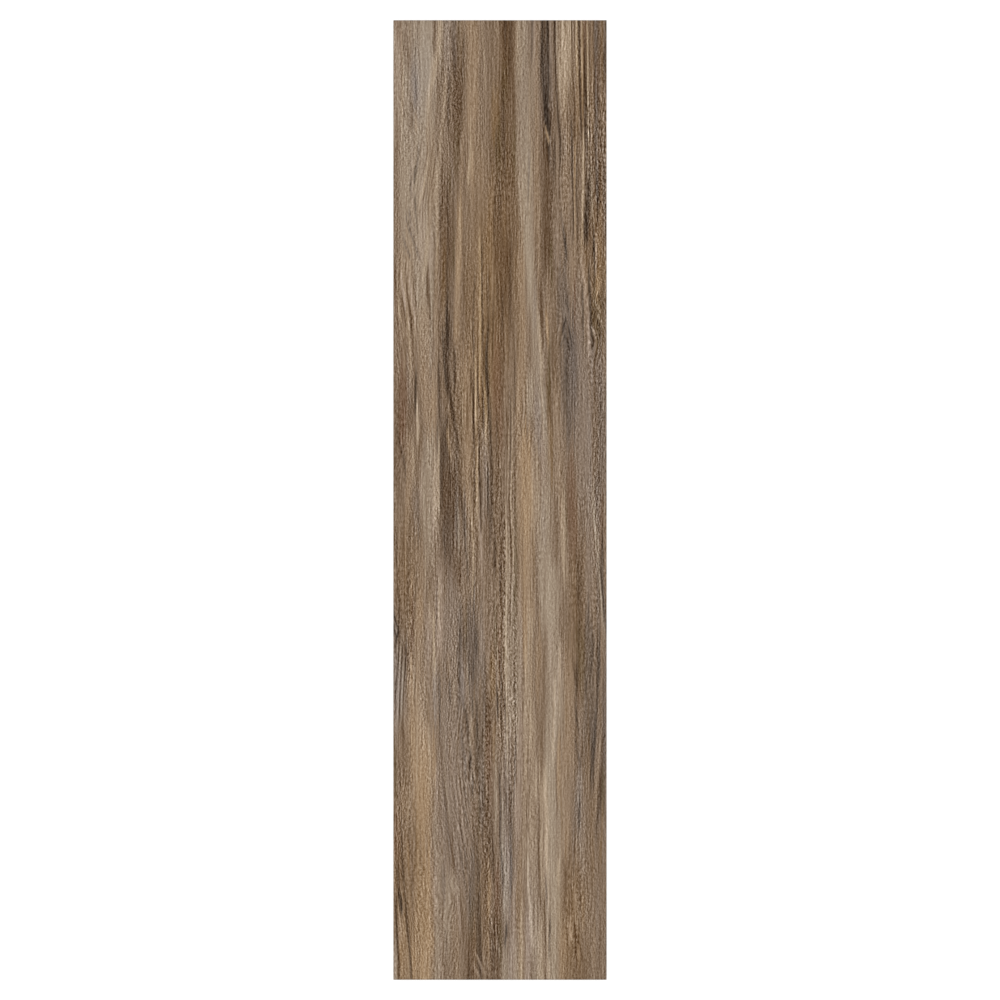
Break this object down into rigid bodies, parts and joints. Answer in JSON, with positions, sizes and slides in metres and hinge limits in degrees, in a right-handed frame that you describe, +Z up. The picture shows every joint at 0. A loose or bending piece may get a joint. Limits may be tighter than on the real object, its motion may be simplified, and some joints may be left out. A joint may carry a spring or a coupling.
{
  "type": "wood look porcelain plank tile",
  "caption": "Long thin rectified porcelain tile with a printed wood grain face, bevelled arrises and a keying lattice on its back, for flooring and walls.",
  "frame": {"origin": "middle of the back, on the plane of the rib crests that meet the adhesive bed", "axes": "+X across the plank, +Y along the plank and the printed grain, +Z up out of the printed face"},
  "size_m": [0.2, 0.9, 0.009],
  "materials": {
    "porcelain": "matt glaze over a printed wood grain, with bare fired porcelain on the edges and back"
  },
  "bodies": {
    "root": {"plank_tile": "porcelain"}
  },
  "joints": []
}
